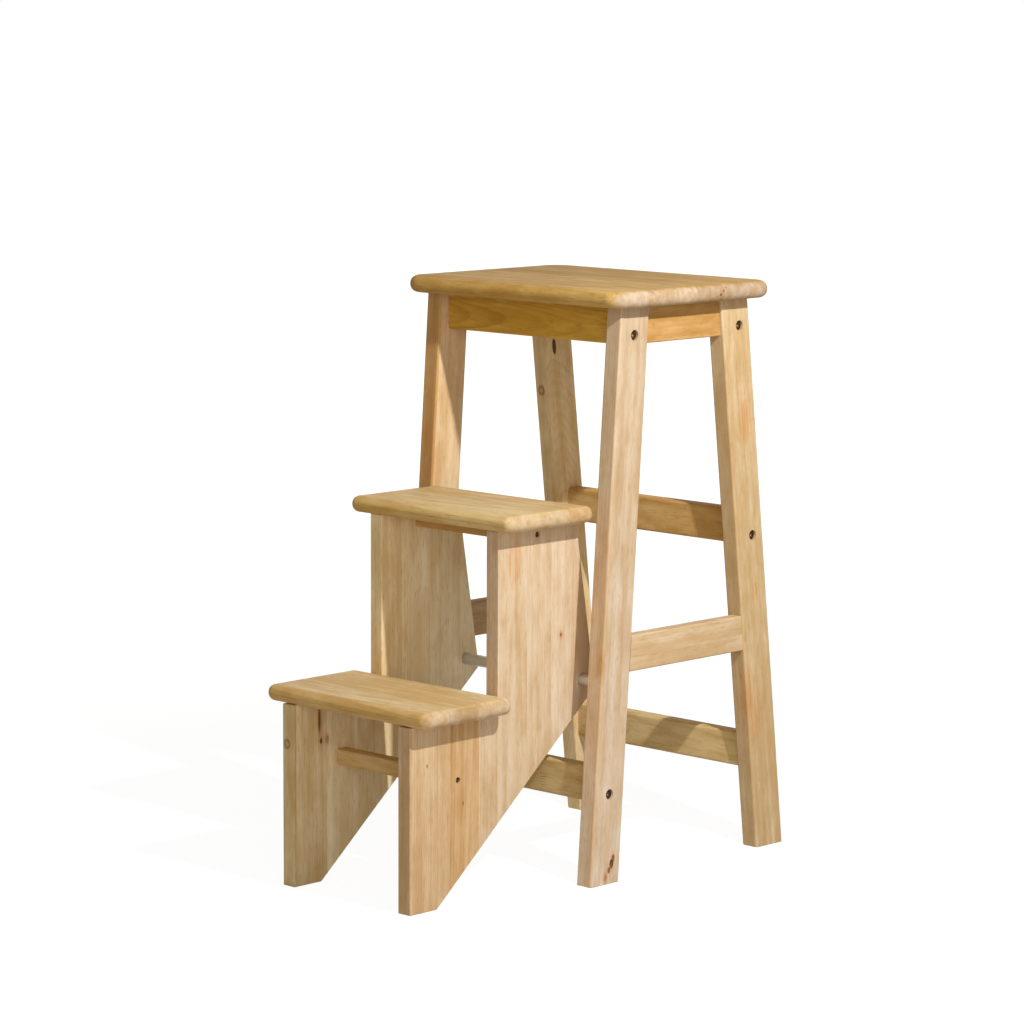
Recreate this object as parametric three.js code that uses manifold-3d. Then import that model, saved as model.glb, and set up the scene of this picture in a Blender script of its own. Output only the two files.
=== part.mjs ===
// Folding step stool: a four-legged wooden stool, and a two-step unit that turns on a steel rod
// through the front legs. Open, the steps stand in front of the stool. Folded, they lie inside it.
// Millimetres. +Z is up, +Y points to the back, +X to the right. The finished group has its origin
// on the floor, in the middle of the open stool's length and width.

import * as THREE from "three";
import { mergeVertices } from "three/addons/utils/BufferGeometryUtils.js";
import Module from "manifold-3d";

const wasm = await Module();
wasm.setup();

// Seat board. Reaches along Y are counted from the middle of the seat, to the front and to the back.
const seatHeight = 650;
const seatDepth = 255;
const seatThickness = 19;
const seatSideOverhang = 21;
const seatNoseRadius = 9;
const seatCornerRadius = 27;

// Legs: upright seen from the front, leaning seen from the side, with level feet.
const frameWidth = 298;
const legThickness = 22;
const legDepth = 45;
const frontFootReach = 147.5;
const frontLean = 42.5;
const rearFootReach = 175;
const rearLean = 73;
const legEdgeRadius = 2.5;

// Aprons under the seat
const apronHeight = 41;
const apronThickness = 18;
const apronEdgeRadius = 2;
const frontApronSetback = 13;
const rearApronSetback = 7.5;
const sideApronThickness = 16;
const sideApronInset = 4.5;

// Cross stretchers between the left and the right legs
const stretcherHeight = 39;
const stretcherThickness = 20;
const stretcherEdgeRadius = 3;
const frontLowHeight = 109.5;
const frontLowSetback = 11.5;
const rearLowHeight = 111.5;
const rearLowSetback = 17.5;
const rearMidHeight = 371.5;
const rearMidSetback = 7;

// Side stretchers between a front and a rear leg
const sideStretcherHeight = 40;
const sideStretcherThickness = 16;
const sideStretcherLevel = 251.5;
const sideStretcherInset = 1;

// Mortise and tenon joints of the side frames
const tenonLength = 12;
const tenonThickness = 9;
const tenonShoulder = 6;

// Pivot rod
const rodHeight = 220;
const rodRadius = 6.5;
const rodSocketDepth = 12;
const rodChamfer = 1;
const rodClearance = 0.4;

// Step unit: two stringers, two treads and two cross rails
const lowerTreadHeight = 220;
const upperTreadHeight = 415;
const treadThickness = 18;
const treadNoseRadius = 8.5;
const treadCornerRadius = 10;
const treadSideClearance = 2.5;
const treadEndOverhang = 25.5;
const lowerNoseOverhang = 3;
const upperNoseOverhang = 9;
const upperRearOverhang = 4;
const stringerThickness = 18;
const stringerEdgeRadius = 1.5;
const stringerFrontReach = 373.5;
const stringerFootLength = 40;
const riserReach = 242;
const stringerTopReach = 121;
const backCornerBehindRod = 20.8;
const backCornerBelowRod = 11.5;
const stepRailHeight = 18;
const stepRailThickness = 16;
const stepRailEdgeRadius = 2;
const lowerRailSetback = 63.5;
const lowerRailDrop = 66;
const upperRailSetback = 52;

// Frame bolts, each with a socket head sunk in the leg, and the dowels beside them
const boltLength = 60;
const boltShankRadius = 3.5;
const boltHeadRadius = 5.5;
const boltHeadHeight = 3.5;
const boltSocketRadius = 2.3;
const boltSocketDepth = 2.4;
const boltSink = 2.2;
const boltPointLength = 5;
const boltDropShare = 0.24;
const dowelRadius = 4;
const dowelLength = 32;
const dowelInLeg = 11;
const dowelChamfer = 1;

// Wood screws: through the stringers into the cross rails, and through the aprons into the seat
const screwShankRadius = 2;
const screwHeadRadius = 3.1;
const screwHeadHeight = 2.6;
const screwPointLength = 4;
const screwRecessWidth = 1;
const screwRecessDepth = 1.4;
const screwHoleClearance = 0.4;
const railScrewLength = 40;
const railScrewSink = 1.6;
const seatScrewInSeat = 12;
const seatScrewLength = 34;
const seatScrewSpacing = 140;

// Glued pegs through the treads into the stringers
const pegRadius = 4;
const pegLength = 40;
const pegFrontInset = 15;
const pegRearInset = 27;
const pegSink = 0.1;

// Clearance between faces that touch, and the overrun of a cutter past a face
const gap = 0.3;
const overrun = 2;

// Facets of a full circle and of an eased edge
const circleSteps = 16;
const smallCircleSteps = 12;
const edgeSteps = 2;
const noseSteps = 3;
const cornerSteps = 6;

// Places worked out from the sizes above
const seatUnderside = seatHeight - seatThickness;
const legTop = seatUnderside - gap;
const legOuterX = frameWidth / 2;
const legInnerX = legOuterX - legThickness;
const frontLegFace = (z) => -frontFootReach + (frontLean * z) / seatUnderside;
const rearLegFace = (z) => rearFootReach - (rearLean * z) / seatUnderside;
const rodY = frontLegFace(rodHeight) + legDepth / 2;
const apronLevel = legTop - apronHeight / 2;
const treadHalfWidth = legInnerX - treadSideClearance;
const stringerOuterX = treadHalfWidth - treadEndOverhang;
const stringerInnerX = stringerOuterX - stringerThickness;
const stringerMiddleX = stringerOuterX - stringerThickness / 2;
const lowerTreadUnderside = lowerTreadHeight - treadThickness;
const upperTreadUnderside = upperTreadHeight - treadThickness;
const lowerNoseY = -stringerFrontReach - lowerNoseOverhang;
const middleOfLength = (rearFootReach + lowerNoseY) / 2;
const sides = [
  ["left", -1],
  ["right", 1],
];

const woodFinish = (color) => new THREE.MeshStandardMaterial({ color, roughness: 0.5, metalness: 0 });
const seatWood = woodFinish(0xd9ae72);
const legWood = woodFinish(0xe3c192);
const railWood = woodFinish(0xd2a45f);
const stringerWood = woodFinish(0xd8b483);
const treadWood = woodFinish(0xd6ab70);
const pegWood = woodFinish(0xe0bd8a);
const rodSteel = new THREE.MeshStandardMaterial({ color: 0xb4b4b0, roughness: 0.35, metalness: 0.9 });
const boltSteel = new THREE.MeshStandardMaterial({ color: 0x6a5848, roughness: 0.5, metalness: 0.8 });

// A closed geometry as a solid that can be joined and cut.
function solidOf(geometry) {
  const bare = new THREE.BufferGeometry();
  bare.setAttribute("position", geometry.getAttribute("position"));
  bare.setIndex(geometry.index);
  const welded = mergeVertices(bare);
  const vertProperties = new Float32Array(welded.getAttribute("position").array);
  const triVerts = new Uint32Array(welded.index.array);
  return new wasm.Manifold(new wasm.Mesh({ numProp: 3, vertProperties, triVerts }));
}

// A solid as a geometry with flat facets.
function geometryOf(solid) {
  const { vertProperties, triVerts, numProp } = solid.getMesh();
  const shared = new THREE.BufferGeometry();
  shared.setAttribute("position", new THREE.BufferAttribute(new Float32Array(vertProperties), numProp));
  shared.setIndex(new THREE.BufferAttribute(new Uint32Array(triVerts), 1));
  const flat = shared.toNonIndexed();
  flat.computeVertexNormals();
  return flat;
}

const cut = (solid, cutters) => cutters.reduce((left, cutter) => left.subtract(cutter), solid);

// A rectangle with round corners, centred on the origin.
function roundedRectangle(width, height, radius) {
  const [x, y] = [width / 2 - radius, height / 2 - radius];
  const shape = new THREE.Shape();
  shape.absarc(x, y, radius, 0, Math.PI / 2);
  shape.absarc(-x, y, radius, Math.PI / 2, Math.PI);
  shape.absarc(-x, -y, radius, Math.PI, (3 * Math.PI) / 2);
  shape.absarc(x, -y, radius, (3 * Math.PI) / 2, 2 * Math.PI);
  shape.closePath();
  return shape;
}

// A closed outline of straight lines through points given as [across, up].
function outline(points) {
  return new THREE.Shape(points.map(([across, up]) => new THREE.Vector2(across, up)));
}

// A straight bar along Z from zero to its length, with eased long edges.
function bar(width, height, length, radius) {
  return new THREE.ExtrudeGeometry(roundedRectangle(width, height, radius), {
    depth: length,
    bevelEnabled: false,
    curveSegments: edgeSteps,
  });
}

// A level board whose edge is rounded all the way round, centred on the origin.
function bullnoseBoard(width, depth, thickness, cornerRadius, noseRadius) {
  const board = new THREE.ExtrudeGeometry(roundedRectangle(width, depth, cornerRadius), {
    depth: thickness - 2 * noseRadius,
    bevelThickness: noseRadius,
    bevelSize: noseRadius,
    bevelOffset: -noseRadius,
    bevelSegments: noseSteps,
    curveSegments: cornerSteps,
  });
  return board.translate(0, 0, noseRadius - thickness / 2);
}

// A plate with the outline [y, z], from lowX to highX, its edges eased by a given radius.
function plateAcrossX(points, lowX, highX, radius) {
  const eased = radius > 0;
  const plate = new THREE.ExtrudeGeometry(outline(points), {
    depth: highX - lowX - 2 * radius,
    bevelEnabled: eased,
    bevelThickness: radius,
    bevelSize: radius,
    bevelOffset: -radius,
    bevelSegments: edgeSteps,
  });
  plate.rotateZ(Math.PI / 2).rotateY(Math.PI / 2);
  return plate.translate(lowX + radius, 0, 0);
}

// A solid box between two corners.
function boxBetween([x0, y0, z0], [x1, y1, z1]) {
  const box = new THREE.BoxGeometry(x1 - x0, y1 - y0, z1 - z0);
  return solidOf(box.translate((x0 + x1) / 2, (y0 + y1) / 2, (z0 + z1) / 2));
}

// A round cutter along X or Z, from one end to the other.
function boreAlongX(startX, endX, y, z, radius) {
  const bore = new THREE.CylinderGeometry(radius, radius, Math.abs(endX - startX), circleSteps);
  return solidOf(bore.rotateZ(Math.PI / 2).translate((startX + endX) / 2, y, z));
}

function boreAlongZ(x, y, startZ, endZ, radius) {
  const bore = new THREE.CylinderGeometry(radius, radius, Math.abs(endZ - startZ), circleSteps);
  return solidOf(bore.rotateX(Math.PI / 2).translate(x, y, (startZ + endZ) / 2));
}

// A turned pin along +X from zero, given as [radius, distance along the pin].
function turned(profile, steps) {
  const points = profile.map(([radius, along]) => new THREE.Vector2(radius, along));
  return new THREE.LatheGeometry(points, steps).rotateZ(-Math.PI / 2);
}

function chamferedPin(radius, length, chamfer, steps) {
  return turned(
    [
      [0, 0],
      [radius - chamfer, 0],
      [radius, chamfer],
      [radius, length - chamfer],
      [radius - chamfer, length],
      [0, length],
    ],
    steps,
  );
}

// A bolt or screw along +X: its head starts at zero and its point is at the far end.
function headedPin(length, shankRadius, headRadius, headHeight, pointLength, steps) {
  return turned(
    [
      [0, 0],
      [headRadius, 0],
      [headRadius, headHeight / 2],
      [shankRadius, headHeight],
      [shankRadius, length - pointLength],
      [0, length],
    ],
    steps,
  );
}

// A sub-part made in the place where it belongs: its mesh is centred on its own middle.
function fitPiece(group, name, solid, material) {
  const geometry = geometryOf(solid);
  geometry.computeBoundingBox();
  const middle = geometry.boundingBox.getCenter(new THREE.Vector3());
  geometry.translate(-middle.x, -middle.y, -middle.z);
  const mesh = new THREE.Mesh(geometry, material);
  mesh.name = name;
  mesh.position.copy(middle);
  group.add(mesh);
}

// A repeated sub-part along +X, put in its place and turned to its direction.
function addPin(group, name, geometry, material, position, direction) {
  const mesh = new THREE.Mesh(geometry, material);
  mesh.name = name;
  mesh.position.set(...position);
  mesh.quaternion.setFromUnitVectors(new THREE.Vector3(1, 0, 0), new THREE.Vector3(...direction));
  group.add(mesh);
}

// Cross members between the left and the right legs: each has a section, a level and a front face.
const apronSection = { height: apronHeight, thickness: apronThickness, radius: apronEdgeRadius };
const stretcherSection = {
  height: stretcherHeight,
  thickness: stretcherThickness,
  radius: stretcherEdgeRadius,
};

// A member set back from the front legs' front face, or from the rear legs' rear face.
function behindFrontLegs(name, section, z, setback, fixing) {
  return { name, ...section, fixing, z, y: frontLegFace(z) + setback + section.thickness / 2 };
}

function beforeRearLegs(name, section, z, setback, fixing) {
  return { name, ...section, fixing, z, y: rearLegFace(z) - setback - section.thickness / 2 };
}

const frontApron = behindFrontLegs(
  "front_apron", apronSection, apronLevel, frontApronSetback, "bolted",
);
const rearApron = beforeRearLegs("rear_apron", apronSection, apronLevel, rearApronSetback, "bolted");
const frontLowStretcher = behindFrontLegs(
  "front_low_stretcher", stretcherSection, frontLowHeight, frontLowSetback, "bolted",
);
const rearMidStretcher = beforeRearLegs(
  "rear_mid_stretcher", stretcherSection, rearMidHeight, rearMidSetback, "bolted",
);
const rearLowStretcher = beforeRearLegs(
  "rear_low_stretcher", stretcherSection, rearLowHeight, rearLowSetback, "dowelled",
);
const crossMembers = [frontApron, rearApron, frontLowStretcher, rearMidStretcher, rearLowStretcher];
const aprons = [frontApron, rearApron];

// Heights of the bolt and the dowels in one end of a cross member.
const boltLevel = (member) => member.z - member.height * boltDropShare;
const dowelLevels = (member) =>
  member.fixing === "bolted"
    ? [member.z + member.height * boltDropShare]
    : [member.z + member.height * boltDropShare, member.z - member.height * boltDropShare];

// The holes that a cross member's bolt and dowels need in the leg and in the member, on one side.
function fasteningHoles(member, sign) {
  const seatOfHead = legOuterX - boltSink - boltHeadHeight;
  const holes = dowelLevels(member).map((level) =>
    boreAlongX(
      sign * (legInnerX + dowelInLeg),
      sign * (legInnerX + dowelInLeg - dowelLength - gap),
      member.y,
      level,
      dowelRadius + gap,
    ),
  );
  if (member.fixing === "bolted") {
    const level = boltLevel(member);
    const shankEnd = legOuterX - boltSink - boltLength - gap;
    const shankRadius = boltShankRadius + gap;
    holes.push(boreAlongX(sign * (legOuterX + overrun), sign * shankEnd, member.y, level, shankRadius));
    const headRadius = boltHeadRadius + gap;
    const headStart = legOuterX + overrun;
    holes.push(boreAlongX(sign * headStart, sign * (seatOfHead - gap), member.y, level, headRadius));
  }
  return holes;
}

// A seat screw goes up through an apron into the seat, with its head sunk in the apron.
const seatScrewTip = seatUnderside + seatScrewInSeat;
const seatScrewHead = seatScrewTip - seatScrewLength;
const seatScrewPlaces = aprons.flatMap((apron) =>
  sides.map(([side, sign]) => ({
    name: `seat_screw_${apron === frontApron ? "front" : "rear"}_${side}`,
    x: (sign * seatScrewSpacing) / 2,
    y: apron.y,
  })),
);

function seatScrewHoles({ x, y }) {
  const apronUnderside = apronLevel - apronHeight / 2;
  const headTop = seatScrewHead + screwHeadHeight + gap;
  const shankRadius = screwShankRadius + screwHoleClearance;
  const headRadius = screwHeadRadius + screwHoleClearance;
  return [
    boreAlongZ(x, y, seatScrewHead - overrun, seatScrewTip + gap, shankRadius),
    boreAlongZ(x, y, apronUnderside - overrun, headTop, headRadius),
  ];
}

// Side members run between a front and a rear leg and end in tenons.
const sideStretcher = {
  name: "side_stretcher",
  z: sideStretcherLevel,
  height: sideStretcherHeight,
  thickness: sideStretcherThickness,
  inset: sideStretcherInset,
};
const sideApron = {
  name: "side_apron",
  z: apronLevel,
  height: apronHeight,
  thickness: sideApronThickness,
  inset: sideApronInset,
};
const sideMembers = [sideStretcher, sideApron];

const memberMiddleX = (member) => legOuterX - member.inset - member.thickness / 2;
const frontShoulder = (z) => frontLegFace(z) + legDepth + gap;
const rearShoulder = (z) => rearLegFace(z) - legDepth - gap;

// The tenons of a side member as one long block, larger by a clearance where it cuts the mortises.
function tenonBlock(member, sign, clearance) {
  const x = sign * memberMiddleX(member);
  const halfThickness = tenonThickness / 2 + clearance;
  const halfHeight = member.height / 2 - tenonShoulder + clearance;
  const frontEnd = frontShoulder(member.z) - tenonLength - clearance;
  const rearEnd = rearShoulder(member.z) + tenonLength + clearance;
  return boxBetween(
    [x - halfThickness, frontEnd, member.z - halfHeight],
    [x + halfThickness, rearEnd, member.z + halfHeight],
  );
}

function sideMember(member, sign) {
  const [low, high] = [member.z - member.height / 2, member.z + member.height / 2];
  const longBar = bar(member.thickness, member.height, frontFootReach + rearFootReach, apronEdgeRadius);
  longBar.rotateX(Math.PI / 2).translate(sign * memberMiddleX(member), rearFootReach, member.z);
  const betweenLegs = plateAcrossX(
    [low - overrun, high + overrun].flatMap((z, end) => {
      const ends = [
        [frontShoulder(z), z],
        [rearShoulder(z), z],
      ];
      return end ? ends.reverse() : ends;
    }),
    -frameWidth,
    frameWidth,
    0,
  );
  return solidOf(longBar).intersect(solidOf(betweenLegs)).add(tenonBlock(member, sign, 0));
}

// A leg is a level section carried straight up and leant towards the seat.
function leg(sign, footY, lean) {
  const post = bar(legThickness, legDepth, legTop, legEdgeRadius);
  const shear = new THREE.Matrix4().makeShear(0, 0, 0, 0, 0, lean / seatUnderside);
  post.applyMatrix4(shear);
  return solidOf(post.translate(sign * (legOuterX - legThickness / 2), footY, 0));
}

function buildStoolFrame() {
  const frame = new THREE.Group();
  const seatWidth = frameWidth + 2 * seatSideOverhang;
  const board = bullnoseBoard(seatWidth, seatDepth, seatThickness, seatCornerRadius, seatNoseRadius);
  board.translate(0, 0, seatUnderside + seatThickness / 2);
  const seatHoles = seatScrewPlaces.flatMap(seatScrewHoles);
  fitPiece(frame, "seat_board", cut(solidOf(board), seatHoles), seatWood);

  const bolt = cut(
    solidOf(
      headedPin(boltLength, boltShankRadius, boltHeadRadius, boltHeadHeight, boltPointLength, circleSteps),
    ),
    [hexSocket(boltSocketRadius, boltSocketDepth)],
  );
  const boltGeometry = geometryOf(bolt);
  const dowelGeometry = chamferedPin(dowelRadius, dowelLength, dowelChamfer, smallCircleSteps);

  for (const [side, sign] of sides) {
    const rodSocket = boreAlongX(
      sign * (legInnerX - overrun),
      sign * (legInnerX + rodSocketDepth),
      rodY,
      rodHeight,
      rodRadius + gap,
    );
    const mortises = sideMembers.map((member) => tenonBlock(member, sign, gap));
    const fastenings = (members) => members.flatMap((member) => fasteningHoles(member, sign));
    const frontHoles = [rodSocket, ...mortises, ...fastenings([frontApron, frontLowStretcher])];
    const rearHoles = [...mortises, ...fastenings([rearApron, rearMidStretcher, rearLowStretcher])];
    const frontLeg = leg(sign, legDepth / 2 - frontFootReach, frontLean);
    const rearLeg = leg(sign, rearFootReach - legDepth / 2, -rearLean);
    fitPiece(frame, `front_leg_${side}`, cut(frontLeg, frontHoles), legWood);
    fitPiece(frame, `rear_leg_${side}`, cut(rearLeg, rearHoles), legWood);
    for (const member of sideMembers) {
      fitPiece(frame, `${member.name}_${side}`, sideMember(member, sign), railWood);
    }
    for (const member of crossMembers) {
      if (member.fixing === "bolted") {
        const place = [sign * (legOuterX - boltSink), member.y, boltLevel(member)];
        addPin(frame, `bolt_${member.name}_${side}`, boltGeometry, boltSteel, place, [-sign, 0, 0]);
      }
      dowelLevels(member).forEach((level, index) => {
        const place = [sign * (legInnerX + dowelInLeg - gap), member.y, level];
        const name = `dowel_${member.name}_${side}_${index + 1}`;
        addPin(frame, name, dowelGeometry, pegWood, place, [-sign, 0, 0]);
      });
    }
  }

  for (const member of crossMembers) {
    const length = 2 * (legInnerX - gap);
    const blank = bar(member.height, member.thickness, length, member.radius);
    blank.rotateY(Math.PI / 2).translate(-length / 2, member.y, member.z);
    const holes = sides.flatMap(([, sign]) => fasteningHoles(member, sign));
    const screwHoles = aprons.includes(member) ? seatHoles : [];
    fitPiece(frame, member.name, cut(solidOf(blank), [...holes, ...screwHoles]), railWood);
  }

  const seatScrew = woodScrew(seatScrewLength);
  for (const place of seatScrewPlaces) {
    addPin(frame, place.name, seatScrew, boltSteel, [place.x, place.y, seatScrewHead], [0, 0, 1]);
  }

  const rodLength = 2 * (legInnerX + rodSocketDepth - gap);
  const rod = chamferedPin(rodRadius, rodLength, rodChamfer, circleSteps);
  addPin(frame, "pivot_rod", rod, rodSteel, [-rodLength / 2, rodY, rodHeight], [1, 0, 0]);
  return frame;
}

// The six-sided driving socket in a bolt's head.
function hexSocket(radius, depth) {
  const sixSides = 6;
  const prism = new THREE.CylinderGeometry(radius, radius, depth + overrun, sixSides);
  return solidOf(prism.rotateZ(Math.PI / 2).translate((depth - overrun) / 2, 0, 0));
}

// A wood screw along +X with a cross recess in its head.
function woodScrew(length) {
  const blank = headedPin(
    length,
    screwShankRadius,
    screwHeadRadius,
    screwHeadHeight,
    screwPointLength,
    smallCircleSteps,
  );
  const [half, reach] = [screwRecessWidth / 2, screwHeadRadius - screwRecessWidth];
  const upright = boxBetween([-overrun, -half, -reach], [screwRecessDepth, half, reach]);
  const level = boxBetween([-overrun, -reach, -half], [screwRecessDepth, reach, half]);
  return geometryOf(cut(solidOf(blank), [upright, level]));
}

// The stringer's outline in Y and Z: a foot, the long slope behind it, the back edge and two steps.
function stringerOutline() {
  return [
    [-stringerFrontReach, 0],
    [-stringerFrontReach + stringerFootLength, 0],
    [rodY + backCornerBehindRod, rodHeight - backCornerBelowRod],
    [-stringerTopReach, upperTreadUnderside - gap],
    [-riserReach, upperTreadUnderside - gap],
    [-riserReach, lowerTreadUnderside - gap],
    [-stringerFrontReach, lowerTreadUnderside - gap],
  ];
}

const lowerTread = {
  name: "tread_lower",
  height: lowerTreadHeight,
  frontY: lowerNoseY,
  rearY: -riserReach - gap,
  pegYs: [-stringerFrontReach + pegFrontInset, -riserReach - pegRearInset],
};
const upperTread = {
  name: "tread_upper",
  height: upperTreadHeight,
  frontY: -riserReach - upperNoseOverhang,
  rearY: -stringerTopReach + upperRearOverhang,
  pegYs: [-riserReach + pegFrontInset, -stringerTopReach - pegRearInset],
};
const treads = [lowerTread, upperTread];
const stepRails = [
  {
    name: "step_rail_lower",
    y: -stringerFrontReach + lowerRailSetback + stepRailThickness / 2,
    z: lowerTreadUnderside - lowerRailDrop,
  },
  {
    name: "step_rail_upper",
    y: -riserReach + upperRailSetback + stepRailThickness / 2,
    z: upperTreadUnderside - gap - stepRailHeight / 2,
  },
];

function pegHole(x, y, tread) {
  const bottom = tread.height - pegSink - pegLength - gap;
  return boreAlongZ(x, y, tread.height + overrun, bottom, pegRadius + gap);
}

function railScrewHoles(rail, sign) {
  const headSeat = stringerOuterX - railScrewSink - screwHeadHeight - gap;
  const tip = stringerOuterX - railScrewSink - railScrewLength - gap;
  const start = sign * (stringerOuterX + overrun);
  const headRadius = screwHeadRadius + screwHoleClearance;
  const shankRadius = screwShankRadius + screwHoleClearance;
  return [
    boreAlongX(start, sign * headSeat, rail.y, rail.z, headRadius),
    boreAlongX(start, sign * tip, rail.y, rail.z, shankRadius),
  ];
}

function buildStepUnit() {
  const unit = new THREE.Group();
  const pegPlaces = treads.flatMap((tread) =>
    sides.flatMap(([side, sign]) =>
      tread.pegYs.map((y, index) => ({
        tread,
        name: `peg_${tread.name}_${side}_${index + 1}`,
        x: sign * stringerMiddleX,
        y,
      })),
    ),
  );

  for (const tread of treads) {
    const depth = tread.rearY - tread.frontY;
    const board = bullnoseBoard(
      2 * treadHalfWidth,
      depth,
      treadThickness,
      treadCornerRadius,
      treadNoseRadius,
    );
    board.translate(0, (tread.frontY + tread.rearY) / 2, tread.height - treadThickness / 2);
    const holes = pegPlaces
      .filter((place) => place.tread === tread)
      .map(({ x, y }) => pegHole(x, y, tread));
    fitPiece(unit, tread.name, cut(solidOf(board), holes), treadWood);
  }

  const screw = woodScrew(railScrewLength);
  for (const [side, sign] of sides) {
    const [low, high] = [stringerInnerX, stringerOuterX].map((x) => sign * x).sort((a, b) => a - b);
    const plate = plateAcrossX(stringerOutline(), low, high, stringerEdgeRadius);
    const rodHole = boreAlongX(
      sign * (stringerInnerX - overrun),
      sign * (stringerOuterX + overrun),
      rodY,
      rodHeight,
      rodRadius + rodClearance,
    );
    const pegHoles = pegPlaces
      .filter((place) => place.x === sign * stringerMiddleX)
      .map(({ x, y, tread }) => pegHole(x, y, tread));
    const screwHoles = stepRails.flatMap((rail) => railScrewHoles(rail, sign));
    const holes = [rodHole, ...pegHoles, ...screwHoles];
    fitPiece(unit, `stringer_${side}`, cut(solidOf(plate), holes), stringerWood);
    for (const rail of stepRails) {
      const place = [sign * (stringerOuterX - railScrewSink), rail.y, rail.z];
      addPin(unit, `screw_${rail.name}_${side}`, screw, boltSteel, place, [-sign, 0, 0]);
    }
  }

  for (const rail of stepRails) {
    const length = 2 * (stringerInnerX - gap);
    const blank = bar(stepRailHeight, stepRailThickness, length, stepRailEdgeRadius);
    blank.rotateY(Math.PI / 2).translate(-length / 2, rail.y, rail.z);
    const holes = sides.flatMap(([, sign]) => railScrewHoles(rail, sign));
    fitPiece(unit, rail.name, cut(solidOf(blank), holes), railWood);
  }

  const peg = turned(
    [
      [0, 0],
      [pegRadius, 0],
      [pegRadius, pegLength - dowelChamfer],
      [pegRadius - dowelChamfer, pegLength],
      [0, pegLength],
    ],
    smallCircleSteps,
  );
  for (const { tread, name, x, y } of pegPlaces) {
    addPin(unit, name, peg, pegWood, [x, y, tread.height - pegSink], [0, 0, -1]);
  }
  return unit;
}

// The step unit's group has its origin on the rod: turning it about X folds the steps.
const pivot = new THREE.Group();
pivot.position.set(0, rodY, rodHeight);
const steps = buildStepUnit();
steps.position.set(0, -rodY, -rodHeight);
pivot.add(steps);

const openStool = new THREE.Group();
openStool.position.y = -middleOfLength;
openStool.add(buildStoolFrame(), pivot);

const stepStool = new THREE.Group();
stepStool.add(openStool);

export default stepStool;
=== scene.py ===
"""A folding step stool in clear-lacquered wood, open, on a pale studio floor.

Every board, bar, rod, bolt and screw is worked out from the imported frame's boxes. Lengths are in
metres, and MM turns millimetres into metres. +Z is up, +Y points to the back, +X to the right.
"""

import math
from collections import namedtuple

import bmesh
import bpy
import numpy as np
from mathutils import Matrix, Vector


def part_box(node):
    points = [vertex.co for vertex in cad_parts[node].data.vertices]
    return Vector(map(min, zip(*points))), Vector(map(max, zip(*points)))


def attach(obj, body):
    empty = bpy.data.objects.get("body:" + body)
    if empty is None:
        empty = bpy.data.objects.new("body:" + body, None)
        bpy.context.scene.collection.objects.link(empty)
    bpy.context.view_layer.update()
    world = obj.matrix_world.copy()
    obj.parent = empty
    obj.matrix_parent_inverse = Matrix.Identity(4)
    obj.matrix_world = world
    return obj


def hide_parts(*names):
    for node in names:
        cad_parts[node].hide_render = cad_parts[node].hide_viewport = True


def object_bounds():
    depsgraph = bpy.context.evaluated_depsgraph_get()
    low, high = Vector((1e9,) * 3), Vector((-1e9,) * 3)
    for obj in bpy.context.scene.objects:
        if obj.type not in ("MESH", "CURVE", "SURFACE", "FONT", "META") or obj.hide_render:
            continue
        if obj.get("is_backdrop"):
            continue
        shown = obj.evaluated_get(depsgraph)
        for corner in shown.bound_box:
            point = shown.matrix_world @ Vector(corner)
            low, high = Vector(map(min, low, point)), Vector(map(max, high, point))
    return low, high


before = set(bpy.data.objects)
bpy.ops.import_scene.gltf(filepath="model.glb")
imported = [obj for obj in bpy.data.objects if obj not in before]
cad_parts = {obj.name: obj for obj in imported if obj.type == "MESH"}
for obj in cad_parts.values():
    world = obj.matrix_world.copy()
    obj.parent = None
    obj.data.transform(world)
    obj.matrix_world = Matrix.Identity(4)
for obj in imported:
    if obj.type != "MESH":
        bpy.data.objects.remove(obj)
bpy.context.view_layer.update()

MM = 0.001
X, Y, Z = np.eye(3)


# ---------------------------------------- camera

# Fitted to the photo's edges. Metres and degrees, and millimetres for the lens and its sensor.
CAMERA_PLACE = (2.8665, -2.96025, 0.9724)
CAMERA_YAW = 44.2638
CAMERA_PITCH_DOWN = 7.985
CAMERA_ROLL = 0.2264
CAMERA_LENS = 131.72
CAMERA_SENSOR = 36
CAMERA_REACH = 60


def placed(name, data):
    """An object in the scene with the given mesh, light or camera."""
    made = bpy.data.objects.new(name, data)
    bpy.context.scene.collection.objects.link(made)
    return made


camera_data = bpy.data.cameras.new("camera")
camera_data.sensor_width = CAMERA_SENSOR
camera_data.lens = CAMERA_LENS
camera_data.clip_end = CAMERA_REACH
camera = placed("camera", camera_data)
camera.matrix_world = (
    Matrix.Translation(CAMERA_PLACE)
    @ Matrix.Rotation(math.radians(CAMERA_YAW), 4, "Z")
    @ Matrix.Rotation(math.radians(90 - CAMERA_PITCH_DOWN), 4, "X")
    @ Matrix.Rotation(math.radians(CAMERA_ROLL), 4, "Z")
)
bpy.context.scene.camera = camera
bpy.context.scene.view_settings.view_transform = "Standard"


# ---------------------------------------- sizes that the boxes don't give

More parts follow.
